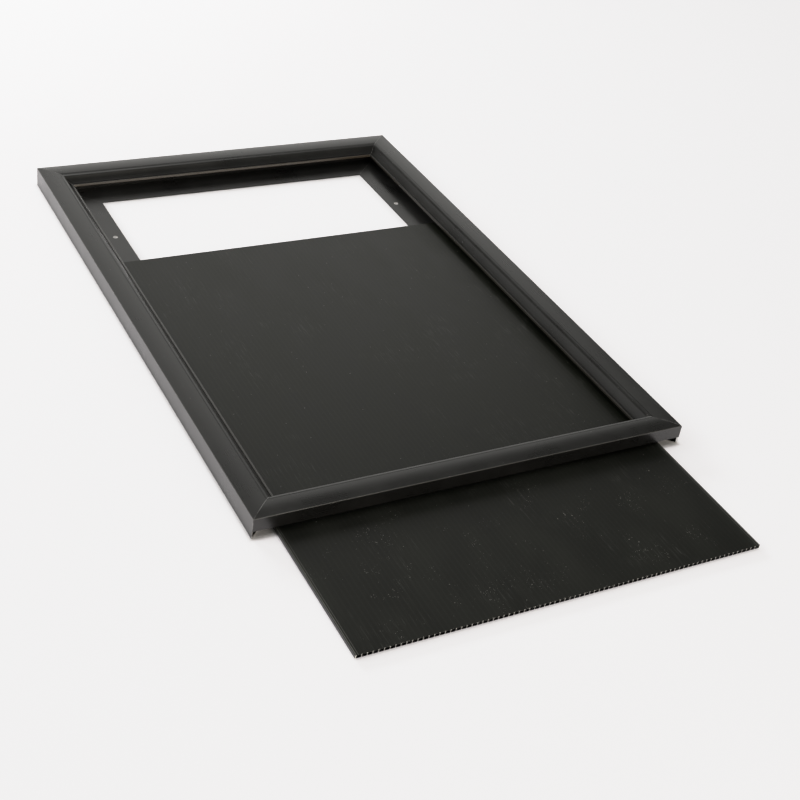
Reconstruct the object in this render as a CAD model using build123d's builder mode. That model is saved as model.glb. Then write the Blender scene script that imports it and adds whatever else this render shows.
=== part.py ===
from build123d import *
import math
import os

# One leaf of a sandwich board, lying on its back with its front face up.
# Four mitred aluminium rails make a picture frame, held at the corners by L-shaped
# keys and grub screws inside the rails' tubes. A fluted plastic panel slides in
# through a slot under the bottom rail and carries the poster behind the rails' lips.
#
# Millimetres. X runs across the leaf, +Y runs from the bottom rail to the top rail,
# +Z is the way the front faces. Z = 0 is the plane that the back rests on, and the
# origin is below the middle of the leaf with its panel pulled out as stored.

os.makedirs("parts", exist_ok=True)

# ---------------------------------------------------------------- driving dimensions

# Panel and poster: the 20 x 30 inch poster size
panel_width = 508.0
panel_length = 762.0
panel_thickness = 4.2
panel_skin = 0.4  # front and back sheets of the twin wall
panel_rib = 0.35  # upright walls between the flutes
flute_pitch = 6.25

# How the panel sits in the frame
panel_side_play = 0.5  # each side, between the panel and the tube beside it
panel_end_play = 0.5  # between the panel pushed home and the top rail's tube
panel_lift = 0.3  # running gap over the rear flanges
panel_inset = 28.0  # from the frame's bottom face to the panel's end, pushed home
rest_pull_out = 194.0  # how far the panel stands out of the slot as stored

# Rail section: a tube with a dividing wall, a cove and lip in front, a flange behind
wall = 1.5
tube_width = 27.5  # outside face to the face that the panel slides along
side_height = 27.2  # outside wall, from the back up to the front's outer edge
crest_rise = 0.8  # the front's inner edge stands this much above its outer edge
divider_height = 10.3  # underside of the dividing wall, and the slot's upper edge
flange_reach = 74.0  # outside face to the flange's inner edge
lip_reach = 42.0  # outside face to the middle of the bead's flat face
bead_radius = 1.7  # half the thickness of the bead along the lip
bead_height = 14.6  # centre of the bead
bead_face = 4.0  # the bead's flat face towards the window, with its rounded corners
bead_round = 1.1
bead_lean = 8.0  # degrees that the flat face leans back
front_bow = 1.0  # how far the front face swells above a straight line
cove_bow = 0.7  # how deep the cove curves below a straight slope
groove_radius = 0.6  # the fine groove between the cove and the bead
edge_round = 0.5  # extruded outer edges
shoulder_back = 1.5  # the rounded shoulder starts this far outside the sliding face
shoulder_radius = 7.0
shoulder_turn = 50.0  # degrees, from the front face down to the cove
shadow_line_width = 0.6  # the fine line cut where the shoulder starts
shadow_line_depth = 0.4

# Corner keys
key_play = 0.2  # all round, between a key and its chamber
front_key_leg = 72.0  # from the frame's outside faces
rear_key_leg = 46.0
key_lead_in = 3.0  # bevel at the tips of the legs
key_pocket_wall = 3.0  # walls left round the casting's pockets
key_pocket_floor = 3.0

# Grub screws, M5 with a 2.5 mm hexagon socket
screw_diameter = 5.0
screw_fit = 0.1  # the key's threaded hole is this much wider than the screw
screw_socket = 2.5  # across flats
screw_socket_depth = 2.6
screw_point = 0.8  # bevel at the tip
screw_tip_gap = 0.1  # from the tip to the wall that it bears on
front_screw_length = 10.0
rear_screw_length = 6.5
front_screw_along = 58.0  # from the corner's outside face, along the rail
rear_screw_along = 34.0
access_diameter = 6.5  # holes that let the hex key in from behind

# Holes in the side rails' flanges, for the stay that ties two leaves together
stay_hole_diameter = 6.0
stay_hole_inset = 61.0  # from the frame's side face
stay_hole_from_top = 175.0  # from the frame's top face

# ---------------------------------------------------------------- worked-out places

frame_width = panel_width + 2 * (tube_width + panel_side_play)
frame_height = panel_length + panel_inset + panel_end_play + tube_width
crest_height = side_height + crest_rise
shoulder_inset = tube_width - shoulder_back

left_x = -frame_width / 2
right_x = frame_width / 2
bottom_y = -(frame_height + rest_pull_out) / 2 + rest_pull_out
top_y = bottom_y + frame_height

panel_bottom_y = bottom_y - rest_pull_out
panel_back_z = wall + panel_lift

# Chambers inside the tube
chamber_near = wall
chamber_far = tube_width - wall
front_floor = divider_height + wall
rear_floor = wall
rear_roof = divider_height


def front_height(inward):
    """Height of the swelling front face, at a distance in from the outside face."""
    share = inward / shoulder_inset
    return side_height + crest_rise * share + 4 * front_bow * share * (1 - share)


def roof_height(inward):
    """The front wall's inside face, above the front chamber."""
    return front_height(inward) - wall


# Each rail starts at one corner and runs anticlockwise to the next, so that every
# sketch has its x inward and its y upward.
UP = Vector(0, 0, 1)
RAILS = {
    "bottom_rail": (Vector(left_x, bottom_y, 0), Vector(1, 0, 0), frame_width),
    "right_side_rail": (Vector(right_x, bottom_y, 0), Vector(0, 1, 0), frame_height),
    "top_rail": (Vector(right_x, top_y, 0), Vector(-1, 0, 0), frame_width),
    "left_side_rail": (Vector(left_x, top_y, 0), Vector(0, -1, 0), frame_height),
}

# Each corner has its outside point and the directions into the frame along X and Y.
CORNERS = {
    "bottom_left": (Vector(left_x, bottom_y, 0), 1, 1),
    "bottom_right": (Vector(right_x, bottom_y, 0), -1, 1),
    "top_right": (Vector(right_x, top_y, 0), -1, -1),
    "top_left": (Vector(left_x, top_y, 0), 1, -1),
}


# ---------------------------------------------------------------- the rail's section


def shoulder_point(turn):
    """A point on the rounded shoulder, that many degrees on from its start."""
    centre = Vector(shoulder_inset, crest_height - shoulder_radius)
    return centre + Vector(0, shoulder_radius).rotate(Axis.Z, -turn)


def lip_points():
    """The cove's two ends, its middle, and the direction into the metal."""
    start = shoulder_point(shoulder_turn)
    end = Vector(lip_reach - 2 * bead_radius, bead_height + bead_radius)
    slope = (end - start).normalized()
    into_metal = Vector(slope.Y, -slope.X)
    middle = (start + end) / 2 + into_metal * cove_bow
    return start, middle, end, into_metal


def section(whole):
    """The rail's outline with its chambers cut out.

    The whole section has the rear chamber and the flange. The bottom rail has neither,
    so that its outside wall ends at the slot.
    """
    start, middle, end, into_metal = lip_points()
    back_start = Vector(tube_width, crest_height - 2 * wall)
    back_end = Vector(lip_reach - 1.5 * bead_radius, bead_height - bead_radius * 0.8)
    back_middle = (back_start + back_end) / 2 + into_metal * cove_bow
    foot = 0 if whole else divider_height
    with BuildSketch() as outline:
        with BuildLine():
            Line((0, foot), (0, side_height))
            swell = (shoulder_inset / 2, front_height(shoulder_inset / 2))
            ThreePointArc((0, side_height), swell, (shoulder_inset, crest_height))
            halfway = shoulder_point(shoulder_turn / 2)
            ThreePointArc(
                (shoulder_inset, crest_height), (halfway.X, halfway.Y), (start.X, start.Y)
            )
            ThreePointArc((start.X, start.Y), (middle.X, middle.Y), (end.X, end.Y))
            Line((end.X, end.Y), (lip_reach - bead_radius, bead_height))
            Line((lip_reach - bead_radius, bead_height), (back_end.X, back_end.Y))
            ThreePointArc(
                (back_end.X, back_end.Y),
                (back_middle.X, back_middle.Y),
                (back_start.X, back_start.Y),
            )
            Polyline((back_start.X, back_start.Y), (tube_width, foot), (0, foot))
        make_face()
        outer_edge = outline.vertices().sort_by_distance((0, side_height))[0]
        fillet(outer_edge, edge_round)
        with Locations((lip_reach - bead_radius, bead_height)):
            RectangleRounded(2 * bead_radius, bead_face, bead_round, rotation=bead_lean)
        with Locations((end.X, end.Y)):
            Circle(groove_radius, mode=Mode.SUBTRACT)
        with Locations((shoulder_inset, crest_height)):
            Rectangle(shadow_line_width, 2 * shadow_line_depth, mode=Mode.SUBTRACT)
        if whole:
            with Locations((0, 0)):
                Rectangle(flange_reach, wall, align=Align.MIN)
            flange_tip = outline.vertices().group_by(Axis.X)[-1]
            fillet(flange_tip, edge_round)
            outer_foot = outline.vertices().sort_by_distance((0, 0))[0]
            fillet(outer_foot, edge_round)
        with BuildLine():
            near_roof = (chamber_near, roof_height(chamber_near))
            far_roof = (chamber_far, roof_height(chamber_far))
            middle_roof = (tube_width / 2, roof_height(tube_width / 2))
            Polyline(near_roof, (chamber_near, front_floor), (chamber_far, front_floor), far_roof)
            ThreePointArc(far_roof, middle_roof, near_roof)
        make_face(mode=Mode.SUBTRACT)
        if whole:
            with Locations((chamber_near, rear_floor)):
                Rectangle(
                    chamber_far - chamber_near,
                    rear_roof - rear_floor,
                    align=Align.MIN,
                    mode=Mode.SUBTRACT,
                )
    return outline.sketch


def hole_places(rail):
    """Where the hex key goes in: the middle of the tube, by each screw in this rail."""
    origin, run, length = RAILS[rail]
    inward = UP.cross(run)
    distances = [front_screw_along, length - front_screw_along]
    if rail == "top_rail":
        distances += [rear_screw_along, length - rear_screw_along]
    if rail == "right_side_rail":
        distances += [length - rear_screw_along]
    if rail == "left_side_rail":
        distances += [rear_screw_along]
    middle = inward * (tube_width / 2)
    return [origin + run * d + middle for d in distances]


def front_hole_places(rail):
    """The front keys' screws are reached through the dividing wall as well."""
    return hole_places(rail)[:2]


def build_rail(name):
    origin, run, length = RAILS[name]
    inward = UP.cross(run)
    whole = name != "bottom_rail"
    profile = section(whole)
    start_plane = Plane(origin=origin, x_dir=inward, z_dir=run)
    with BuildPart() as rail:
        with BuildSketch(start_plane):
            add(profile)
        extrude(amount=length)
        split(bisect_by=Plane(origin=origin, z_dir=run - inward), keep=Keep.TOP)
        far_corner = origin + run * length
        split(bisect_by=Plane(origin=far_corner, z_dir=-run - inward), keep=Keep.TOP)
        # access holes: the dividing wall has the front keys' holes, the back wall all
        divider = Plane.XY.offset(divider_height)
        with BuildSketch(divider):
            with Locations(*[(p.X, p.Y) for p in front_hole_places(name)]):
                Circle(access_diameter / 2)
        extrude(amount=wall, mode=Mode.SUBTRACT)
        if whole:
            with BuildSketch(Plane.XY):
                with Locations(*[(p.X, p.Y) for p in hole_places(name)]):
                    Circle(access_diameter / 2)
            extrude(amount=wall, mode=Mode.SUBTRACT)
        if name.endswith("side_rail"):
            stay = origin + inward * stay_hole_inset
            with BuildSketch(Plane.XY):
                with Locations((stay.X, top_y - stay_hole_from_top)):
                    Circle(stay_hole_diameter / 2)
            extrude(amount=wall, mode=Mode.SUBTRACT)
    rail.part.label = name
    export_step(rail.part, f"parts/{name}.step")
    return rail.part


# ---------------------------------------------------------------- corner keys


def build_key(name, corner, leg, floor, roof, screw_along, bosses_pocketed):
    """An L-shaped casting that fills a chamber round one corner, with two tapped holes."""
    outside, step_x, step_y = CORNERS[corner]
    near = chamber_near + key_play
    width = chamber_far - chamber_near - 2 * key_play
    middle = tube_width / 2
    plane = Plane(origin=(outside.X, outside.Y, floor + key_play))
    height = roof - floor - 2 * key_play
    with BuildPart() as key:
        with BuildSketch(plane):
            with BuildLine():
                Polyline(
                    (near * step_x, near * step_y),
                    (leg * step_x, near * step_y),
                    (leg * step_x, (near + width) * step_y),
                    ((near + width) * step_x, (near + width) * step_y),
                    ((near + width) * step_x, leg * step_y),
                    (near * step_x, leg * step_y),
                    close=True,
                )
            make_face()
            tips = [
                v
                for v in vertices()
                if abs(abs(v.X - outside.X) - leg) < wall or abs(abs(v.Y - outside.Y) - leg) < wall
            ]
            chamfer(tips, key_lead_in)
        extrude(amount=height)
        # pockets between the corner and the screw boss, open upward as cast
        if bosses_pocketed:
            pocket_from = tube_width + key_pocket_wall
            pocket_to = screw_along - screw_diameter
            pocket_width = width - 2 * key_pocket_wall
            pocket_middle = (pocket_from + pocket_to) / 2
            pocket_length = pocket_to - pocket_from
            with BuildSketch(plane.offset(key_pocket_floor)):
                with Locations((pocket_middle * step_x, middle * step_y)):
                    RectangleRounded(pocket_length, pocket_width, key_pocket_wall)
                with Locations((middle * step_x, pocket_middle * step_y)):
                    RectangleRounded(pocket_width, pocket_length, key_pocket_wall)
            extrude(amount=height, mode=Mode.SUBTRACT)
        with BuildSketch(plane):
            with Locations(
                (screw_along * step_x, middle * step_y),
                (middle * step_x, screw_along * step_y),
            ):
                Circle((screw_diameter + screw_fit) / 2)
        extrude(amount=height, mode=Mode.SUBTRACT)
    key.part.label = name
    export_step(key.part, f"parts/{name}.step")
    return key.part


def build_screw(name, place, tip_height, length):
    """A grub screw standing on its tip: socket below, where the hex key comes in."""
    base = Plane(origin=(place.X, place.Y, tip_height - length))
    with BuildPart() as screw:
        with BuildSketch(base):
            Circle(screw_diameter / 2)
        extrude(amount=length)
        tip_edge = screw.edges().filter_by(GeomType.CIRCLE).sort_by(Axis.Z)[-1]
        chamfer(tip_edge, screw_point)
        with BuildSketch(base):
            RegularPolygon(screw_socket / 2, 6, major_radius=False)
        extrude(amount=screw_socket_depth, mode=Mode.SUBTRACT)
    screw.part.label = name
    export_step(screw.part, f"parts/{name}.step")
    return screw.part


def leg_places(corner, along):
    """The two screw places of a corner: in the leg along the end rail, and the side."""
    outside, step_x, step_y = CORNERS[corner]
    middle = tube_width / 2
    end_leg = outside + Vector(along * step_x, middle * step_y, 0)
    side_leg = outside + Vector(middle * step_x, along * step_y, 0)
    return {"end": end_leg, "side": side_leg}


# ---------------------------------------------------------------- the sliding panel


def build_panel():
    """Twin-wall sheet: two skins joined by ribs, with the flutes open at both ends."""
    flute_count = math.floor((panel_width - panel_rib) / flute_pitch)
    flute_width = flute_pitch - panel_rib
    flute_height = panel_thickness - 2 * panel_skin
    face_plane = Plane(
        origin=(0, panel_bottom_y, panel_back_z + panel_thickness / 2),
        x_dir=(-1, 0, 0),
        z_dir=(0, 1, 0),
    )
    with BuildPart() as panel:
        with BuildSketch(face_plane):
            Rectangle(panel_width, panel_thickness)
            with GridLocations(flute_pitch, panel_thickness, flute_count, 1):
                Rectangle(flute_width, flute_height, mode=Mode.SUBTRACT)
        extrude(amount=panel_length)
    panel.part.label = "slide_in_panel"
    export_step(panel.part, "parts/slide_in_panel.step")
    return panel.part


# ---------------------------------------------------------------- the whole leaf

pieces = [build_rail(name) for name in RAILS]

front_roof = roof_height(chamber_near)
front_tip = roof_height(tube_width / 2) - screw_tip_gap
rear_tip = rear_roof - screw_tip_gap
for corner in CORNERS:
    front_key = f"{corner}_front_key"
    pieces.append(
        build_key(
            front_key, corner, front_key_leg, front_floor, front_roof, front_screw_along, True
        )
    )
    for leg, place in leg_places(corner, front_screw_along).items():
        name = f"{front_key}_{leg}_screw"
        pieces.append(build_screw(name, place, front_tip, front_screw_length))
    if corner.startswith("top"):
        rear_key = f"{corner}_rear_key"
        pieces.append(
            build_key(
                rear_key, corner, rear_key_leg, rear_floor, rear_roof, rear_screw_along, False
            )
        )
        for leg, place in leg_places(corner, rear_screw_along).items():
            name = f"{rear_key}_{leg}_screw"
            pieces.append(build_screw(name, place, rear_tip, rear_screw_length))

pieces.append(build_panel())
leaf = Compound(label="sandwich_board_leaf", children=pieces)
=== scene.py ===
# %% [markdown]
# # A sandwich board leaf, from its frame to its finish
#
# One leaf of a sandwich board lies on its back on a white table. Four mitred aluminium
# rails make the frame, and a fluted plastic sheet slides out through the slot under the
# bottom rail. All the shapes come from the CAD model, so what is left to do here is the
# part that the eye believes or doesn't: the coating on the metal, the bare metal where a
# saw went through, the plastic with its ribs showing through, and soft light to see it by.

# %% Load the frame
import math

import bpy
from mathutils import Matrix, Vector


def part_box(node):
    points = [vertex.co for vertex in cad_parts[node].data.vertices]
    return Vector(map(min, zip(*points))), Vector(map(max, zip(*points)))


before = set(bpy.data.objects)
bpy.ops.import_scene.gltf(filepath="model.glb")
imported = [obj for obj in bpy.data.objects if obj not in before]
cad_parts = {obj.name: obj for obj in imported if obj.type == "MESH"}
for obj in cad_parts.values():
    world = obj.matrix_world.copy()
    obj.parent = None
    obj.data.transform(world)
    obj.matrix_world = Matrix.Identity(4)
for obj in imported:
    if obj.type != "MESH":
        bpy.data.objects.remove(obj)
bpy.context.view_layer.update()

# %% [markdown]
# ## Measuring the leaf
#
# Finishes on a real frame depend on where you are on it: the saw's bare metal is at the
# mitres, and the rubbed edge is round the outside. So the first step asks the model how
# large the frame and the sheet are, and the finish still fits after somebody changes them.
# The rail's section is another matter. Every rail comes out of the same die, so the few
# places on the section that a finish needs are typed in once, with their names.

# %% Size of the frame and of the sheet
MM = 0.001

left_low, left_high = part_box("left_side_rail")
_, right_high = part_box("right_side_rail")
panel_low, panel_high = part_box("slide_in_panel")

half_width = (right_high.x - left_low.x) / 2
half_height = (left_high.y - left_low.y) / 2
frame_middle = Vector(((left_low.x + right_high.x) / 2, (left_low.y + left_high.y) / 2, 0))
panel_half_width = (panel_high.x - panel_low.x) / 2
print("frame %.0f x %.0f mm" % (2 * half_width / MM, 2 * half_height / MM))
print("sheet %.0f mm wide" % (2 * panel_half_width / MM))

# %% Places on the rail's section
EDGE_HEIGHT = 27.2 * MM  # outer edge of the front face
FLANGE_REACH = 74 * MM  # inner edge of the rear flange, in from the outside

# Each pair says where a mark starts to show and where it has its full strength.
LIP_FACE_IN = (41.0 * MM, 41.7 * MM)  # the lip's flat face, in from the outside
LIP_FACE_UP = (12.0 * MM, 12.8 * MM)  # the same face, up from the table
LIP_TOP_UP = (15.4 * MM, 15.9 * MM)
LIP_TOP_IN = (38.9 * MM, 39.3 * MM)  # past the fine groove beside the lip
print("lip's flat face is %.1f mm in" % (LIP_FACE_IN[0] / MM))

# %% Places of the stay holes and the flutes
STAY_HOLE_RADIUS = 3 * MM
STAY_HOLE_IN = 61 * MM  # from the outside of its side rail
STAY_HOLE_DOWN = 175 * MM  # from the outside of the top rail
RIM_HEIGHT = 3 * MM  # the flange is thinner than this
FLUTE_PITCH = 6.25 * MM

stay_hole_x = half_width - STAY_HOLE_IN
stay_hole_y = left_high.y - STAY_HOLE_DOWN
print("stay holes %.0f mm from the middle" % (stay_hole_x / MM))

# %% [markdown]
# ## Writing finishes as sums
#
# Every finish below is a node graph. Placing nodes one by one takes many lines, so a small
# helper keeps a material open and adds to it: `add`, `times`, `ramp` and so on each make
# one node and hand back its output. The graph then reads like the arithmetic that it is.
# Drawing the graph by hand in the editor would give the same nodes, but they could not be
# shared between rails that run different ways. The helper is built up in four short cells,
# each adding to the one before.


# %% Nodes and arithmetic
class Graph:
    """A material under construction, with one principled shader."""

    def __init__(self, name):
        self.material = bpy.data.materials.new(name)
        self.material.use_nodes = True
        self.tree = self.material.node_tree
        self.shader = self.tree.nodes["Principled BSDF"]
        self.place = self.node("ShaderNodeTexCoord")

    def node(self, kind, **settings):
        made = self.tree.nodes.new(kind)
        for key, value in settings.items():
            setattr(made, key, value)
        return made

    def feed(self, socket, value):
        """Wires an output to an input, or sets the input's own value."""
        if isinstance(value, bpy.types.NodeSocket):
            self.tree.links.new(value, socket)
        elif isinstance(value, tuple):
            socket.default_value = (*value, 1.0)
        else:
            socket.default_value = value

    def math(self, operation, *values):
        made = self.node("ShaderNodeMath", operation=operation)
        for socket, value in zip(made.inputs, values):
            self.feed(socket, value)
        return made.outputs[0]

    def add(self, a, b):
        return self.math("ADD", a, b)

    def minus(self, a, b):
        return self.math("SUBTRACT", a, b)

    def times(self, a, b):
        return self.math("MULTIPLY", a, b)

    def either(self, a, b):
        return self.math("MAXIMUM", a, b)

    def positive(self, value):
        return self.math("ABSOLUTE", value)


print("arithmetic ready:", Graph.__name__)


# %% Places on the piece
class Places(Graph):
    """Adds the ways to ask where on the piece a point is."""

    def ramp(self, value, start, end, low=0.0, high=1.0):
        """Goes smoothly from low to high as the value goes from start to end."""
        made = self.node("ShaderNodeMapRange", interpolation_type="SMOOTHSTEP")
        for socket, given in zip(made.inputs, (value, start, end, low, high)):
            self.feed(socket, given)
        return made.outputs[0]

    def axes(self, vector=None):
        """The three coordinates, by default those of the object, in metres."""
        made = self.node("ShaderNodeSeparateXYZ")
        self.feed(made.inputs[0], vector or self.place.outputs["Object"])
        return made.outputs[0], made.outputs[1], made.outputs[2]

    def facing(self):
        """How far the surface faces sideways, endways and upward, each from -1 to 1."""
        return self.axes(self.place.outputs["Normal"])

    def stretched(self, grain):
        """Object coordinates scaled so that a pattern is that many metres long each way."""
        made = self.node("ShaderNodeVectorMath", operation="MULTIPLY")
        self.feed(made.inputs[0], self.place.outputs["Object"])
        made.inputs[1].default_value = [1 / length for length in grain]
        return made.outputs[0]


print("places ready:", Places.__name__)


# %% Patterns
class Patterns(Places):
    """Adds noise and specks."""

    def noise(self, grain, detail=2.0, roughness=0.5):
        """Smooth noise from 0 to 1. The grain is one size, or sizes along X, Y and Z."""
        made = self.node("ShaderNodeTexNoise")
        grains = grain if isinstance(grain, tuple) else (grain, grain, grain)
        self.feed(made.inputs["Vector"], self.stretched(grains))
        made.inputs["Scale"].default_value = 1.0
        made.inputs["Detail"].default_value = detail
        made.inputs["Roughness"].default_value = roughness
        return made.outputs[0]

    def specks(self, cell, radius, share):
        """Round specks seen from above, one at most in each cell, in that share of cells."""
        near = self.node("ShaderNodeTexVoronoi", feature="F1", voronoi_dimensions="2D")
        self.feed(near.inputs["Vector"], self.stretched((cell, cell, cell)))
        near.inputs["Scale"].default_value = 1.0
        chance, size, _ = self.axes(near.outputs["Color"])
        reach = self.times(self.add(0.35, size), radius / cell)
        inside = self.math("LESS_THAN", near.outputs["Distance"], reach)
        chosen = self.math("LESS_THAN", chance, share)
        return self.times(inside, chosen)


MOST_NOISE = (0.3, 0.7)  # nearly all of a noise lies between these
print("patterns ready:", Patterns.__name__)


# %% Colour, relief and surface
class Finish(Patterns):
    """Adds what ends a finish: mixed colours, bumps and the shader's own sockets."""

    def blend(self, share, first, second):
        """Mixes two colours, or a colour and an output."""
        made = self.node("ShaderNodeMix", data_type="RGBA")
        self.feed(made.inputs["Factor"], share)
        for socket, value in zip((made.inputs[6], made.inputs[7]), (first, second)):
            self.feed(socket, value)
        return made.outputs[2]

    def relief(self, *layers):
        """Chains bumps. Each layer is a height from 0 to 1 and how many metres 1 is."""
        normal = None
        for height, depth in layers:
            bump = self.node("ShaderNodeBump")
            bump.inputs["Strength"].default_value = 1.0
            bump.inputs["Distance"].default_value = depth
            self.feed(bump.inputs["Height"], height)
            if normal is not None:
                self.feed(bump.inputs["Normal"], normal)
            normal = bump.outputs[0]
        self.feed(self.shader.inputs["Normal"], normal)

    def surface(self, **sockets):
        for name, value in sockets.items():
            self.feed(self.shader.inputs[name.replace("_", " ")], value)

    def done(self):
        print(self.material.name, "has", len(self.tree.nodes), "nodes")
        return self.material


print("helper ready:", Finish.__name__)


# %% Putting a finish on a piece
def dress(node_name, material):
    """Gives a CAD piece its finish, in every material slot that it has."""
    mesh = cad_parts[node_name].data
    if not mesh.materials:
        mesh.materials.append(material)
    for index in range(len(mesh.materials)):
        mesh.materials[index] = material


print("pieces to dress:", len(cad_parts))

# %% [markdown]
# ## Satin black rails
#
# The rails are extruded aluminium with a thin black coating. Three things give such a
# surface away. Fine lines run along the rail, left by the die that the metal was pushed
# through. The coating has a faint orange peel and is not evenly glossy. And it is not
# black all over. It stops wherever a tool cut through it, on the sawn mitres and at the
# rim of a drilled hole. It is worn thin and grey along the outer edge, where the frame is
# set down, and that grey is also a painted highlight on the edge's rounding. A paler top on
# the left lip is a painted highlight, and a warm paler colour on the lip's flat face is a
# painted reflection, strongest on the top and bottom rails.
#
# A picture of metal wrapped round the rails could show this too, but its lines would turn
# the corner wrongly at each mitre. Here everything is worked out from where a point is on
# the frame. A point lies on a mitre when it is as far in from a side as from an end.


# %% Where a point is on the frame
def frame_places(finish):
    """How far in from the outside, how far from the nearest mitre, and how high."""
    x, y, z = finish.axes()
    across = finish.positive(finish.minus(x, frame_middle.x))
    along = finish.positive(finish.minus(y, frame_middle.y))
    from_side = finish.minus(half_width, across)
    from_end = finish.minus(half_height, along)
    gap = finish.positive(finish.minus(from_side, from_end))
    from_mitre = finish.times(gap, math.sqrt(0.5))
    from_outside = finish.math("MINIMUM", from_side, from_end)
    return from_outside, from_mitre, z


print("mitre distance uses half sizes %.3f and %.3f m" % (half_width, half_height))

# %% [markdown]
# ## Where the black is broken
#
# On the real rails the saw came after the coating, and so did the drill, so both left
# bright metal. Hands and floors did the rest over the years. Some marks are painted light
# as well: the outer edge's grey is partly a painted highlight, the left lip's top is a
# painted highlight, and the lip's flat face has a painted reflection. These marks could be
# painted on a mask by hand. A mask made of distances is chosen instead, because it keeps
# its width when the frame gets longer, and one function serves all four rails. Each
# function below gives how strong its mark is at a point, from 0 to at most 1.

# %% Sizes of the marks
MITRE_HAIR = (0.20 * MM, 0.06 * MM)  # from the mitre: where the hair ends, where it is whole
MITRE_PATCH = 9 * MM
HOLE_RIM = (0.45 * MM, 0.2 * MM)  # beyond the hole: where the rim ends, where it is whole
SAWN_SLANT = (1.36, 1.40)  # sideways and endways add up to 1.41 on a face at 45 degrees
EDGE_WEAR_AND_HIGHLIGHT = 1.0 * MM  # width of the worn outer edge, which also carries a painted highlight
RUB = 4 * MM
print("worn edge %.1f mm wide" % (EDGE_WEAR_AND_HIGHLIGHT / MM))


# %% Metal that the saw and the drill laid bare
def sawn_face(finish):
    """1 on the faces that the mitre saw left, which look diagonally across the frame."""
    side, end, _ = finish.facing()
    both = finish.add(finish.positive(side), finish.positive(end))
    return finish.ramp(both, *SAWN_SLANT)


def mitre_line(finish, from_mitre):
    """The hair of bright metal along a closed mitre, fainter in places."""
    patchy = finish.ramp(finish.noise(MITRE_PATCH), 0.35, 0.65, 0.05, 0.5)
    return finish.times(finish.ramp(from_mitre, *MITRE_HAIR), patchy)


def drilled_rim(finish, z):
    """The bright wall and rim of the stay holes in the flanges."""
    x, y, _ = finish.axes()
    dx = finish.minus(finish.positive(finish.minus(x, frame_middle.x)), stay_hole_x)
    dy = finish.minus(y, stay_hole_y)
    radius = finish.math("SQRT", finish.add(finish.times(dx, dx), finish.times(dy, dy)))
    beyond, on_rim = (STAY_HOLE_RADIUS + edge for edge in HOLE_RIM)
    return finish.times(
        finish.ramp(radius, beyond, on_rim),
        finish.math("LESS_THAN", z, RIM_HEIGHT),
    )


print("bare metal on", sawn_face.__name__, mitre_line.__name__, drilled_rim.__name__)


# %% Places where the coat is worn, and where highlights are painted
def worn_edge_and_highlight(finish, from_outside, z):
    """1 along the front's outer edge: a thin worn coat, and in part a painted highlight."""
    near_edge = finish.ramp(from_outside, EDGE_WEAR_AND_HIGHLIGHT, 0.5 * EDGE_WEAR_AND_HIGHLIGHT)
    near_front = finish.ramp(z, EDGE_HEIGHT - EDGE_WEAR_AND_HIGHLIGHT, EDGE_HEIGHT - 0.3 * EDGE_WEAR_AND_HIGHLIGHT)
    return finish.times(near_edge, near_front)


def rubbed_patches(finish):
    """Small rubs through the coat, in irregular spots."""
    return finish.ramp(finish.noise(RUB, 4.0, 0.7), 0.66, 0.74, 0.0, 0.6)


def lip_painted_reflection(finish, from_outside, z):
    """1 on the flat face along the lip, which gets a warm painted reflection."""
    on_face = finish.ramp(from_outside, *LIP_FACE_IN)
    return finish.times(on_face, finish.ramp(z, *LIP_FACE_UP))


def left_lip_painted_highlight(finish, from_outside, z):
    """1 on top of the left lip, where a paler painted highlight goes."""
    x, _, _ = finish.axes()
    on_left = finish.math("LESS_THAN", x, frame_middle.x)
    on_top = finish.times(finish.ramp(z, *LIP_TOP_UP), on_left)
    return finish.times(on_top, finish.ramp(from_outside, *LIP_TOP_IN))


print("wear on", worn_edge_and_highlight.__name__, lip_painted_reflection.__name__, left_lip_painted_highlight.__name__)

# %% [markdown]
# ## The coat and its gloss
#
# The coat is a few hundredths of a millimetre thick and very black, so most of what is seen
# of it is gloss. Its base colour is kept close to nothing, and the look comes from a middle
# roughness that drifts a little from place to place, die lines and orange peel as relief,
# and a few grains of dust on the faces that look up. One flat black with one roughness
# would be quicker, but a long rail gives that away at once, because its reflection then
# has no grain.

# %% Colours of the rails
COAT_BLACK = (0.0045, 0.0044, 0.0041)
COAT_WORN = (0.0090, 0.0088, 0.0082)
# paler grey: worn thin coat, and painted highlight on the outer edge and left lip
COAT_THIN_AND_HIGHLIGHT = (0.065, 0.063, 0.059)
# painted reflection: the warm paler colour on the lip's flat face
LIP_PAINTED_REFLECTION = (0.075, 0.060, 0.043)
BARE_METAL = (0.78, 0.77, 0.75)
DUST = (0.55, 0.53, 0.50)
print("coat's red goes from", COAT_BLACK[0], "to", COAT_WORN[0])

# %% Marks in the coating
DIE_LINE_WIDTH = 0.9 * MM
DIE_LINE_LENGTH = 300 * MM
DIE_LINE_DEPTH = 0.008 * MM
ORANGE_PEEL = 1.6 * MM
ORANGE_PEEL_DEPTH = 0.006 * MM
CLOUD = 70 * MM  # patches of more and less worn coat
SAW_MARK = (0.25 * MM, 0.25 * MM, 6 * MM)
SAW_MARK_DEPTH = 0.02 * MM
RAIL_DUST = (9 * MM, 0.22 * MM, 0.06)  # cell, radius and share of cells with a speck
RAIL_ROUGHNESS = (0.24, 0.30)
RAIL_IOR = 1.6
print("die lines %.1f mm apart" % (DIE_LINE_WIDTH / MM))

# %% The coat's colour
# how strongly the lip's painted reflection shows, on end rails and on side rails
END_LIP_REFLECTION = 1.0
SIDE_LIP_REFLECTION = 0.15


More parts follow.
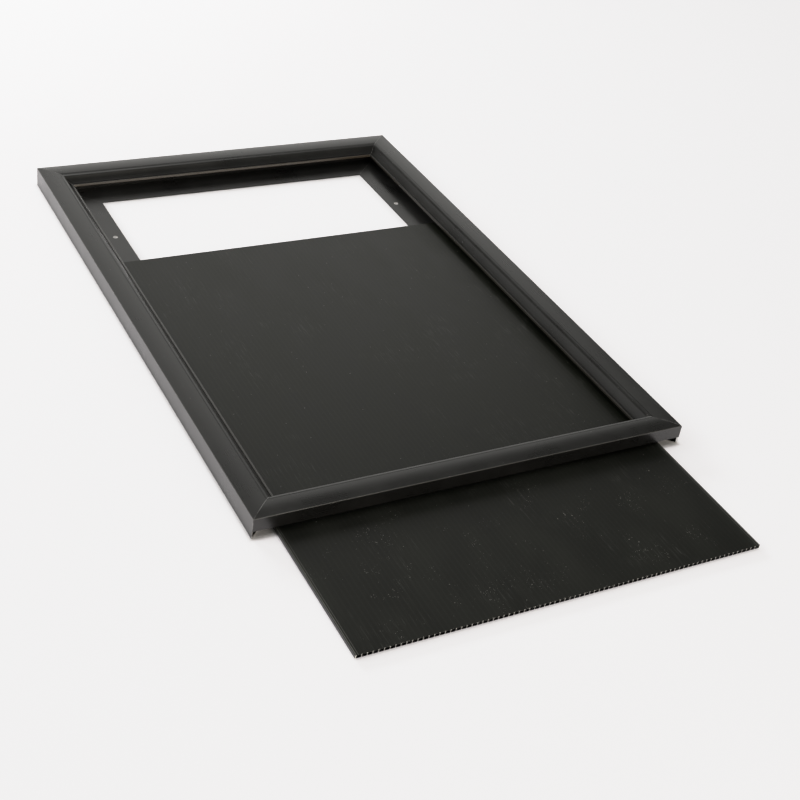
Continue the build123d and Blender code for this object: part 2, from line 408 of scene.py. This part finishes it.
def coat_colour(f, cloud, edge, from_outside, z, runs_along_y):
    """Black, greyer where worn thin and under painted highlights, warm under the lip's
    painted reflection.
    """
    coat = f.blend(f.ramp(cloud, 0.35, 0.7), COAT_BLACK, COAT_WORN)
    coat = f.blend(f.times(edge, 0.9), coat, COAT_THIN_AND_HIGHLIGHT)
    if runs_along_y:
        coat = f.blend(f.times(left_lip_painted_highlight(f, from_outside, z), 0.8), coat, COAT_THIN_AND_HIGHLIGHT)
    reflection_share = SIDE_LIP_REFLECTION if runs_along_y else END_LIP_REFLECTION
    return f.blend(f.times(lip_painted_reflection(f, from_outside, z), reflection_share), coat, LIP_PAINTED_REFLECTION)


# the paler grey is worn coat and also a painted highlight
print("coat takes", COAT_THIN_AND_HIGHLIGHT, "where it is thin")


# %% The rails' finish
def rail_finish(name, runs_along_y):
    """Black coated aluminium, with its die lines along the rail."""
    f = Finish(name)
    die_line = [DIE_LINE_WIDTH] * 3
    die_line[1 if runs_along_y else 0] = DIE_LINE_LENGTH
    lines = f.noise(tuple(die_line), 3.0, 0.6)
    cloud = f.noise(CLOUD, 3.0, 0.6)
    from_outside, from_mitre, z = frame_places(f)
    edge = worn_edge_and_highlight(f, from_outside, z)

    sawn = sawn_face(f)
    bare = f.either(sawn, mitre_line(f, from_mitre))
    bare = f.either(bare, f.times(edge, rubbed_patches(f)))
    bare = f.either(bare, drilled_rim(f, z))

    _, _, upward = f.facing()
    dust = f.times(f.specks(*RAIL_DUST), f.ramp(upward, 0.6, 0.9, 0.0, 0.6))
    dusty = f.blend(dust, coat_colour(f, cloud, edge, from_outside, z, runs_along_y), DUST)
    satin = f.add(f.ramp(cloud, *MOST_NOISE, *RAIL_ROUGHNESS), f.times(lines, 0.05))
    f.surface(
        Base_Color=f.blend(bare, dusty, BARE_METAL),
        Metallic=bare,
        Roughness=f.either(satin, f.times(dust, 0.9)),
        IOR=RAIL_IOR,
    )
    f.relief(
        (lines, DIE_LINE_DEPTH),
        (f.noise(ORANGE_PEEL, 1.0), ORANGE_PEEL_DEPTH),
        (f.times(f.noise(SAW_MARK, 2.0), sawn), SAW_MARK_DEPTH),
    )
    return f.done()


end_rail_finish = rail_finish("black_coat_end_rails", runs_along_y=False)
side_rail_finish = rail_finish("black_coat_side_rails", runs_along_y=True)

# %% Coat the four rails
for rail in ("bottom_rail", "top_rail"):
    dress(rail, end_rail_finish)
for rail in ("left_side_rail", "right_side_rail"):
    dress(rail, side_rail_finish)
print("rails coated")

# %% [markdown]
# ## The fluted sheet
#
# The panel is black twin-wall plastic: two skins with upright ribs between them. The skins
# shrink a little as they cool and hang between the ribs, so each rib prints through as a
# fine line along the sheet. The guillotine leaves the cut ends paler than the skins, and
# the knife that slit the sheet to width bent its skins along both long edges.
#
# The lines could be modelled, but they stand only some thousandths of a millimetre proud.
# A cosine of the flute's pitch used as a bump is enough, and since the ribs are real in
# the CAD model, the pitch puts each line right over its rib.


# %% Lines over the ribs
def rib_lines(finish):
    """A narrow ridge over every rib. The flutes are centred on the sheet's middle."""
    x, _, _ = finish.axes()
    turns = finish.times(finish.minus(x, frame_middle.x), 2 * math.pi / FLUTE_PITCH)
    wave = finish.math("COSINE", finish.add(turns, math.pi))
    ridge = finish.times(finish.add(wave, 1.0), 0.5)
    return finish.math("POWER", ridge, 5.0)


print("rib pitch %.2f mm" % (FLUTE_PITCH / MM))

# %% Lines along the long edges
EDGE_LINE = (1.2 * MM, 0.5 * MM)  # how far in from the edge, and half its width
CREASE_LINE = (3.6 * MM, 0.4 * MM)
LINE_CORE = 0.1 * MM


def edge_lines(finish):
    """Two pale lines by each long edge, where the slitting knife bent the skins."""
    x, _, _ = finish.axes()
    across = finish.positive(finish.minus(x, frame_middle.x))
    inward = finish.minus(panel_half_width, across)
    lines = []
    for place, half_line in (EDGE_LINE, CREASE_LINE):
        distance = finish.positive(finish.minus(inward, place))
        lines.append(finish.ramp(distance, half_line, LINE_CORE))
    return finish.either(lines[0], finish.times(lines[1], 0.6))


print("edge lines %.1f and %.1f mm in" % (EDGE_LINE[0] / MM, CREASE_LINE[0] / MM))

# %% [markdown]
# ## Dust and scuffs
#
# Black plastic holds a charge, so pale dust settles on it in drifts, most of it on the part
# that is pulled out and handled. Sliding the sheet in and out leaves short scratches along
# it. Scattered grains could be real little meshes, but thousands of them would slow the
# scene for marks less than a millimetre wide. Specks in a cell pattern cost next to
# nothing, and a slow noise multiplied over them makes the drifts.

# %% Dust on the sheet
DRIFT = 45 * MM
FINE_DUST = (2.6 * MM, 0.26 * MM, 0.24)  # cell, radius and share of cells with a speck
COARSE_DUST = (8 * MM, 0.44 * MM, 0.14)
LOOSE_DUST = (17 * MM, 0.36 * MM, 0.16)

slot_y = left_low.y
HANDLED = (slot_y + 120 * MM, slot_y - 40 * MM)  # where handling starts, where it is full


def panel_dust(finish):
    """Pale specks that gather in drifts, more of them on the part that is handled."""
    drift = finish.ramp(finish.noise(DRIFT, 3.0, 0.65), 0.52, 0.64)
    _, y, _ = finish.axes()
    handled = finish.ramp(y, *HANDLED, 0.10, 1.0)
    specks = finish.either(finish.specks(*FINE_DUST), finish.specks(*COARSE_DUST))
    gathered = finish.times(specks, finish.times(drift, handled))
    loose = finish.specks(*LOOSE_DUST)
    return finish.either(finish.times(gathered, 0.45), finish.times(loose, 0.35))


print("slot at y = %.0f mm" % (slot_y / MM))

# %% Scuffs on the sheet
SCRATCH = (0.9 * MM, 26 * MM, 5 * MM)
SCUFFED_PATCH = (70 * MM, 90 * MM, 70 * MM)


def scuffs(finish):
    """Short pale scratches along the sheet, from sliding it in and out."""
    threads = finish.noise(SCRATCH, 2.0, 0.5)
    patch = finish.ramp(finish.noise(SCUFFED_PATCH, 2.0), 0.50, 0.64)
    return finish.times(finish.ramp(threads, 0.60, 0.70), patch)


print("scratches about %.0f mm long" % (SCRATCH[1] / MM))

# %% [markdown]
# ## The sheet's surface
#
# The skins are waxy rather than glossy, with faint streaks from the rollers and a soft haze.
# They reflect about half as much light as the coat of the rails, so the sheet gets a lower
# index of refraction of its own and a slightly rougher surface. Inside the flutes no light
# gets out again, and a separate dark colour there is surer than leaving it to the bounces.

# %% Colours of the sheet
SHEET_BLACK = (0.0030, 0.0034, 0.0020)
SHEET_GREY = (0.0052, 0.0058, 0.0036)
# painted shade inside the flutes and on the slit long edges
SHEET_PAINTED_SHADE = (0.002, 0.002, 0.002)
CUT_PLASTIC = (0.62, 0.62, 0.58)
SCUFF_GREY = (0.075, 0.075, 0.070)
EDGE_GREY = (0.13, 0.13, 0.12)
print("cut plastic is %.0f times as light as a scuff" % (CUT_PLASTIC[0] / SCUFF_GREY[0]))

# %% Marks in the skins
STREAK = (1.3 * MM, 400 * MM, 5 * MM)
WAX_CLOUD = (50 * MM, 120 * MM, 50 * MM)
HAZE = (2.2 * MM, 5.0 * MM, 2.2 * MM)
RIB_PATCH = (80 * MM, 300 * MM, 80 * MM)  # where the ribs show more and less
RIB_DEPTH = 0.005 * MM
SKIN_DEPTH = 0.006 * MM  # of the streaks and of the haze
SHEET_ROUGHNESS = (0.31, 0.37)
SHEET_IOR = 1.40
print("streaks %.0f mm long" % (STREAK[1] / MM))

# %% Plastic darkened as painted shade
SKIN_SHOWS = 0.2 * MM  # how deep from each face the plastic counts as skin


def painted_shade_plastic(finish, side):
    """1 inside the flutes and on the slit long edges, which get a dark colour as painted
    shade.
    """
    _, _, z = finish.axes()
    middle = (panel_low.z + panel_high.z) / 2
    within = (panel_high.z - panel_low.z) / 2 - SKIN_SHOWS
    inside = finish.math("LESS_THAN", finish.positive(finish.minus(z, middle)), within)
    return finish.either(inside, finish.ramp(finish.positive(side), 0.5, 0.8))


print("sheet %.1f mm thick" % ((panel_high.z - panel_low.z) / MM))


# %% The skins' colour
def skin_colour(f, ribs, wax, on_face):
    """Waxy black, with the ribs, the edge lines and the scuffs showing on it."""
    skin = f.blend(f.ramp(wax, *MOST_NOISE), SHEET_BLACK, SHEET_GREY)
    ribbed = f.blend(f.times(f.times(ribs, 0.04), on_face), skin, SCUFF_GREY)
    lined = f.blend(f.times(edge_lines(f), on_face), ribbed, EDGE_GREY)
    scuff = f.times(scuffs(f), on_face)
    return f.blend(f.times(scuff, 0.35), lined, SCUFF_GREY)


print("skin goes from", SHEET_BLACK, "to", SHEET_GREY)


# %% The sheet's finish
def panel_finish():
    """Black fluted plastic, pale where it is cut."""
    f = Finish("black_fluted_sheet")
    side, end, upward = f.facing()
    on_face = f.ramp(upward, 0.7, 0.9)
    cut_end = f.ramp(f.positive(end), 0.7, 0.9)
    ribs = rib_lines(f)
    streaks = f.noise(STREAK, 3.0, 0.6)
    wax = f.noise(WAX_CLOUD, 3.0, 0.6)

    skin = skin_colour(f, ribs, wax, on_face)
    dark = f.blend(painted_shade_plastic(f, side), skin, SHEET_PAINTED_SHADE)
    rib_end = f.times(cut_end, f.ramp(ribs, 0.25, 0.6, 0.02, 1.0))
    cut = f.blend(rib_end, dark, CUT_PLASTIC)
    dust = f.times(panel_dust(f), on_face)
    gloss = f.add(f.ramp(wax, *MOST_NOISE, *SHEET_ROUGHNESS), f.times(streaks, 0.06))
    f.surface(
        Base_Color=f.blend(dust, cut, DUST),
        Roughness=f.either(gloss, f.times(f.either(dust, cut_end), 0.8)),
        IOR=SHEET_IOR,
    )
    uneven = f.ramp(f.noise(RIB_PATCH, 2.0), 0.35, 0.65, 0.3, 1.0)
    proud = f.times(f.times(ribs, on_face), uneven)
    f.relief((proud, RIB_DEPTH), (streaks, SKIN_DEPTH), (f.noise(HAZE, 2.0), SKIN_DEPTH))
    return f.done()


dress("slide_in_panel", panel_finish())

# %% [markdown]
# ## Keys and screws inside the corners
#
# Nothing of these shows until the frame is opened, but somebody who takes the leaf apart
# will see them. The keys are die-cast, with a dull, slightly pebbled skin and paler flow
# marks where the metal ran in. The grub screws are steel blackened with heat and oil, with
# fine rings round them where the thread is. Both finishes are small sums of noise at the
# scale of the process, which is plenty for pieces this size.

# %% Cast corner keys
PEBBLE = 0.8 * MM
PEBBLE_DEPTH = 0.06 * MM
FLOW_MARK = (9 * MM, 9 * MM, 4 * MM)
CAST_GREY = (0.33, 0.33, 0.34)
CAST_PALE = (0.46, 0.46, 0.46)
CAST_ROUGHNESS = (0.48, 0.62)


def casting_finish():
    f = Finish("cast_corner_key")
    flow = f.noise(FLOW_MARK, 3.0, 0.6)
    f.surface(
        Base_Color=f.blend(f.ramp(flow, *MOST_NOISE), CAST_GREY, CAST_PALE),
        Metallic=1.0,
        Roughness=f.ramp(flow, *MOST_NOISE, *CAST_ROUGHNESS),
    )
    f.relief((f.noise(PEBBLE, 3.0, 0.6), PEBBLE_DEPTH))
    return f.done()


cast = casting_finish()

# %% Blackened grub screws
OIL_SPOT = 1.1 * MM
THREAD = (20 * MM, 20 * MM, 0.4 * MM)
THREAD_DEPTH = 0.05 * MM
OILED_BLACK = (0.035, 0.035, 0.04)
OILED_GREY = (0.09, 0.088, 0.085)
OILED_ROUGHNESS = (0.28, 0.45)


def screw_finish():
    f = Finish("blackened_screw")
    oil = f.noise(OIL_SPOT, 2.0)
    f.surface(
        Base_Color=f.blend(f.ramp(oil, 0.35, 0.65), OILED_BLACK, OILED_GREY),
        Metallic=1.0,
        Roughness=f.ramp(oil, *MOST_NOISE, *OILED_ROUGHNESS),
    )
    f.relief((f.noise(THREAD, 1.0), THREAD_DEPTH))
    return f.done()


blackened = screw_finish()

# %% Dress the keys and screws
screws = [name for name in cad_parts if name.endswith("_screw")]
keys = [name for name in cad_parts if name.endswith("_key")]
for name in screws:
    dress(name, blackened)
for name in keys:
    dress(name, cast)
print("dressed", len(keys), "keys and", len(screws), "screws")

# %% [markdown]
# ## The table
#
# A pale, matt table fills the view. It matters for more than its looks: black satin metal is
# mostly a mirror of its surroundings, so the table is what makes the left wall of the frame
# read as a light grey stripe. Its surface gives off light of its own, though it is no lamp:
# this is painted light, and it keeps the shadows round the frame faint. That light is shut
# off under the rails and fades in just round them, which paints a soft shadow along the
# frame. A flat grid that curls up far away is enough for the shape, because only its middle
# is seen close to, and a trace of mottling keeps it from looking like a blank page.

# %% Painted light and painted shadow on the table
TABLE_PAINTED_LIGHT = 0.38
PAINTED_LIGHT_COLOUR = (1.0, 0.955, 0.98)
# Each pair is where the painted shadow is darkest and where the painted light is full, in
# from the outside.
PAINTED_SHADOW_WITHIN = (FLANGE_REACH - 1 * MM, FLANGE_REACH + 16 * MM)
PAINTED_SHADOW_OUTSIDE = (0.0, -6 * MM)


def table_painted_light(finish):
    """Painted light given off by the table, turned off under and next to the rails as a
    painted shadow.
    """
    from_outside, _, _ = frame_places(finish)
    within = finish.ramp(from_outside, *PAINTED_SHADOW_WITHIN)
    outside = finish.ramp(from_outside, *PAINTED_SHADOW_OUTSIDE)
    return finish.times(finish.either(within, outside), TABLE_PAINTED_LIGHT)


print("table glows with strength", TABLE_PAINTED_LIGHT)

# %% Table material
TABLE_WHITE = (0.80, 0.78, 0.79)
TABLE_PALE = (0.83, 0.81, 0.82)
MOTTLE = 350 * MM
TABLE_GRAIN = 0.9 * MM
TABLE_GRAIN_DEPTH = 0.02 * MM


def table_finish():
    f = Finish("pale_table")
    f.surface(
        Base_Color=f.blend(f.noise(MOTTLE, 3.0, 0.6), TABLE_WHITE, TABLE_PALE),
        Roughness=0.7,
        Emission_Color=PAINTED_LIGHT_COLOUR,
        Emission_Strength=table_painted_light(f),
    )
    f.relief((f.noise(TABLE_GRAIN), TABLE_GRAIN_DEPTH))
    return f.done()


print("mottling %.0f mm across" % (MOTTLE / MM))

# %% Table mesh
TABLE_STEPS = 24
CURL_STARTS = 0.75  # as a share of the way out
TABLE_CLEARANCE = 0.1 * MM


def table(reach, curl):
    """A square sheet whose far edges curl up gently, as a studio sweep does."""
    points = []
    for row in range(TABLE_STEPS + 1):
        for column in range(TABLE_STEPS + 1):
            u = 2 * column / TABLE_STEPS - 1
            v = 2 * row / TABLE_STEPS - 1
            beyond = max(0.0, max(abs(u), abs(v)) - CURL_STARTS)
            points.append((u * reach, v * reach, curl * beyond**2 - TABLE_CLEARANCE))
    faces = []
    for row in range(TABLE_STEPS):
        for column in range(TABLE_STEPS):
            low = row * (TABLE_STEPS + 1) + column
            high = low + TABLE_STEPS + 1
            faces.append((low, low + 1, high + 1, high))
    mesh = bpy.data.meshes.new("pale_table")
    mesh.from_pydata(points, [], faces)
    for polygon in mesh.polygons:
        polygon.use_smooth = True
    mesh.materials.append(table_finish())
    made = bpy.data.objects.new("pale_table", mesh)
    bpy.context.scene.collection.objects.link(made)
    return made


floor = table(reach=9.0, curl=4.0)
print("table is %.0f m wide" % floor.dimensions.x)

# %% [markdown]
# ## Soft light
#
# The room is dim. A large white screen stands behind the leaf, a little to the right, a
# fainter one stands on the left, a soft light hangs overhead, and pale paper runs round the
# horizon. Satin black shows such a room directly: the far rail mirrors the bright screen,
# and the near end of the panel mirrors the dimmer room above it. The screens could be built
# as glowing sheets. The world is a sum of soft discs of light instead, each a direction, two
# angles and a strength, because such a disc has no hard edge to show in the gloss.


# %% Parts of the room's graph
def faded(tree, value, start, end, strength):
    """Goes smoothly from 0 to the strength as the value goes from start to end."""
    made = tree.nodes.new("ShaderNodeMapRange")
    made.interpolation_type = "SMOOTHSTEP"
    tree.links.new(value, made.inputs[0])
    for socket, given in zip(list(made.inputs)[1:], (start, end, 0.0, strength)):
        socket.default_value = given
    return made.outputs[0]


def tinted(tree, strength, colour, below):
    """Adds light of a colour to what is already there."""
    made = tree.nodes.new("ShaderNodeVectorMath")
    made.operation = "MULTIPLY_ADD"
    tree.links.new(strength, made.inputs[0])
    made.inputs[1].default_value = colour
    if isinstance(below, tuple):
        made.inputs[2].default_value = below
    else:
        tree.links.new(below, made.inputs[2])
    return made.outputs[0]


def unit_towards(azimuth, elevation):
    """The direction at those degrees. Azimuth is from +Y towards +X."""
    a = math.radians(azimuth)
    e = math.radians(elevation)
    return Vector((math.sin(a) * math.cos(e), math.cos(a) * math.cos(e), math.sin(e)))


print("straight up is", tuple(round(v, 3) for v in unit_towards(0, 90)))


# %% Soft discs of light
def tent(room, discs, horizon):
    """A dim room, with soft discs of light in it and a pale band round the horizon."""
    world = bpy.data.worlds.new("white_tent")
    bpy.context.scene.world = world
    world.use_nodes = True
    tree = world.node_tree
    direction = tree.nodes.new("ShaderNodeTexCoord").outputs["Generated"]
    light = room
    for azimuth, elevation, edge, middle, strength, colour in discs:
        dot = tree.nodes.new("ShaderNodeVectorMath")
        dot.operation = "DOT_PRODUCT"
        tree.links.new(direction, dot.inputs[0])
        dot.inputs[1].default_value = unit_towards(azimuth, elevation)
        rim = math.cos(math.radians(edge))
        full = math.cos(math.radians(middle))
        disc = faded(tree, dot.outputs["Value"], rim, full, strength)
        light = tinted(tree, disc, colour, light)
    split = tree.nodes.new("ShaderNodeSeparateXYZ")
    tree.links.new(direction, split.inputs[0])
    top, strength, colour = horizon
    band = faded(tree, split.outputs[2], math.sin(math.radians(top)), 0.0, strength)
    light = tinted(tree, band, colour, light)
    tree.links.new(light, tree.nodes["Background"].inputs["Color"])
    return world


print("world helper ready:", tent.__name__)

# %% The room
PAPER = (1.0, 0.985, 0.95)
DIM_ROOM = (0.13, 0.13, 0.12)
PAPER_BAND = (16, 0.45, PAPER)  # top of the band in degrees, strength, colour
ROOM_DISCS = [
    # azimuth, elevation, soft edge, full inside, strength, colour
    (17, 19, 31, 15, 0.84, PAPER),
    (-75, 20, 45, 20, 0.50, PAPER),
    (0, 88, 28, 15, 2.4, PAPER),
]
world = tent(DIM_ROOM, ROOM_DISCS, PAPER_BAND)
print("world:", world.name, "with", len(ROOM_DISCS), "soft discs")

# %% [markdown]
# ## Lamps
#
# Two white softboxes light the table from the left and from behind. They stand outside the
# mirror's way, so they are kept out of the reflections, as a black flag would keep them.
# One warm lamp stands on the camera's side, and it does show: it lights what faces the
# camera, which is the flat face of the far lip, the bottom rail's outer wall and the
# cut end of the sheet.

# %% Soft lamps
WHITE_LIGHT = (1.0, 1.0, 1.0)
WARM_LIGHT = (1.0, 0.92, 0.80)


def soft_lamp(name, azimuth, elevation, distance, size, power, colour=WHITE_LIGHT):
    """A rectangular lamp, aimed at the middle of the table from that direction."""
    towards = unit_towards(azimuth, elevation)
    lamp = bpy.data.lights.new(name, "AREA")
    lamp.shape = "RECTANGLE"
    lamp.size, lamp.size_y = size
    lamp.energy = power
    lamp.color = colour
    made = bpy.data.objects.new(name, lamp)
    bpy.context.scene.collection.objects.link(made)
    made.location = towards * distance
    made.rotation_euler = (-towards).to_track_quat("-Z", "Y").to_euler()
    return made


back_softbox = soft_lamp("back_softbox", -14, 21, distance=2.6, size=(1.4, 0.5), power=66)
left_softbox = soft_lamp("left_softbox", -75, 30, distance=2.6, size=(1.2, 0.8), power=22)
for softbox in (back_softbox, left_softbox):
    softbox.visible_glossy = False
soft_lamp("warm_lamp", 176, 14, distance=2.5, size=(0.9, 0.5), power=18, colour=WARM_LIGHT)

# %% [markdown]
# ## The camera
#
# A leaf of this size is seen well from about a metre and three quarters away with a slightly
# long lens, looking down past the near left corner. The camera is placed by where it aims
# and how it is turned about that point, which is how a person with a tripod thinks, and
# not by a list of coordinates. It is also rolled about nine degrees, and the leaf sits a
# little off centre, which is what the small shift is for.

# %% Where the camera stands
AIM = Vector((-28.8 * MM, -120.9 * MM, 0))
DISTANCE = 1.7386
AZIMUTH, ELEVATION, ROLL = (math.radians(a) for a in (-31.94, 34.88, 9.04))

backward = Vector((
    math.sin(AZIMUTH) * math.cos(ELEVATION),
    -math.cos(AZIMUTH) * math.cos(ELEVATION),
    math.sin(ELEVATION),
))
level = Vector((math.cos(AZIMUTH), math.sin(AZIMUTH), 0))
upward = backward.cross(level)
right = level * math.cos(ROLL) + upward * math.sin(ROLL)
up = backward.cross(right)
turn = Matrix((right, up, backward)).transposed().to_4x4()
print("looking along", [round(-v, 3) for v in backward])

# %% Camera
SENSOR = 36
LENS = 63.78
SHIFT = (0.0212, -0.0024)

camera_data = bpy.data.cameras.new("camera")
camera_data.sensor_width = SENSOR
camera_data.lens = LENS
camera_data.shift_x, camera_data.shift_y = SHIFT
camera = bpy.data.objects.new("camera", camera_data)
bpy.context.scene.collection.objects.link(camera)
camera.matrix_world = Matrix.Translation(AIM + backward * DISTANCE) @ turn
bpy.context.scene.camera = camera
print("camera at", [round(v, 3) for v in camera.location])

# %% [markdown]
# ## The print
#
# The table is brighter than paper white in this light, and a camera's tone curve bends
# the whites over instead of cutting them off, while it leaves the darks alone. A straight
# curve with a soft shoulder does the same. The filmic view transforms have a shoulder too,
# but they also lift the blacks, and this frame has to stay black.

# %% A straight curve with a soft shoulder
BRIGHTEST = 2.0
# scene brightness and print brightness, straight up to the first pair
SHOULDER = [(0.6, 0.6), (0.9, 0.80), (1.5, 0.905)]
PRINTED_WHITE = 0.94


def print_curve():
    view = bpy.context.scene.view_settings
    view.view_transform = "Standard"
    view.use_curve_mapping = True
    mapping = view.curve_mapping
    mapping.white_level = (BRIGHTEST, BRIGHTEST, BRIGHTEST)
    curve = mapping.curves[3]
    curve.points[1].location = (1.0, PRINTED_WHITE)
    for bright, printed in SHOULDER:
        curve.points.new(bright / BRIGHTEST, printed)
    curve.points[0].handle_type = "VECTOR"
    curve.points[1].handle_type = "VECTOR"
    mapping.update()
    return [tuple(round(v, 3) for v in point.location) for point in curve.points]


print("curve:", print_curve())

# %% [markdown]
# ## Closing
#
# The last cell prints a closing line.

# %% Finish
print("scene set up")
